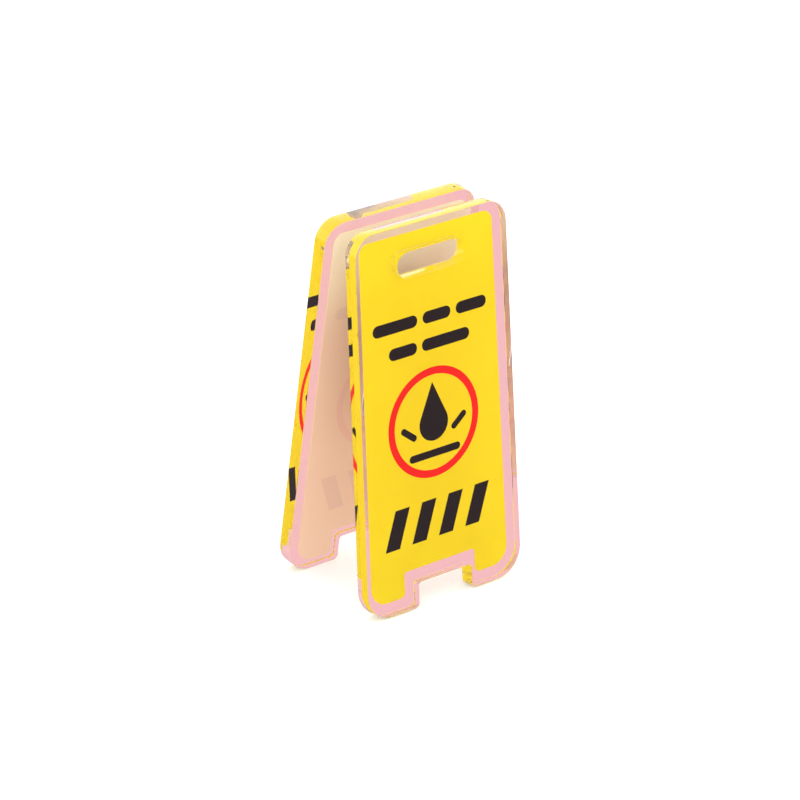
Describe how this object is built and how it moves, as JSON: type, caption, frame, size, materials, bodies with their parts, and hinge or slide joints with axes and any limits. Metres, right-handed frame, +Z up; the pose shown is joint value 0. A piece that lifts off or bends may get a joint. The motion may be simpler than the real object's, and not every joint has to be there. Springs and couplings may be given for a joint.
{
  "type": "wet floor sign",
  "caption": "Miniature A-frame wet floor sign in clear printed acrylic whose panels are held by a small spring clip, so squeezing the feet opens the top.",
  "frame": {"origin": "on the floor, midway between the four feet", "axes": "+Z up, +X across the sign to the right seen from the front, -Y towards the front"},
  "size_m": [0.0348, 0.0262, 0.0699],
  "materials": {
    "acrylic": "laser-cut clear acrylic with a faint rose tint, polished faces",
    "yellow_ink": "UV-cured ink seen through the panel",
    "black_ink": "UV-cured ink",
    "red_ink": "UV-cured ink",
    "white_ink": "thin white backing ink that lets some of the colour through",
    "foam_tape": "closed-cell foam tape",
    "clear_abs": "injection-moulded clear plastic",
    "plated_steel": "nickel-plated rivet pin",
    "spring_steel": "bright drawn spring wire"
  },
  "bodies": {
    "front_side": {"front_panel": "acrylic", "front_yellow_print": "yellow_ink", "front_black_marks": "black_ink", "front_red_ring": "red_ink", "front_white_backing": "white_ink", "front_tape_pad": "foam_tape", "front_clip_half": "clear_abs", "pivot_pin": "plated_steel", "torsion_spring": "spring_steel"},
    "rear_side": {"rear_panel": "acrylic", "rear_yellow_print": "yellow_ink", "rear_black_marks": "black_ink", "rear_red_ring": "red_ink", "rear_white_backing": "white_ink", "rear_tape_pad": "foam_tape", "rear_clip_half": "clear_abs", "torsion_spring_rear_leg": "spring_steel"}
  },
  "joints": [
    {"name": "clip_pivot", "type": "hinge", "parent": "front_side", "child": "rear_side", "pos_m": [0, 0, 0.044], "axis": [-1, 0, 0], "range_deg": [0, 26], "stiffness_Nm_per_rad": 0.06, "springref_deg": -34.38}
  ]
}
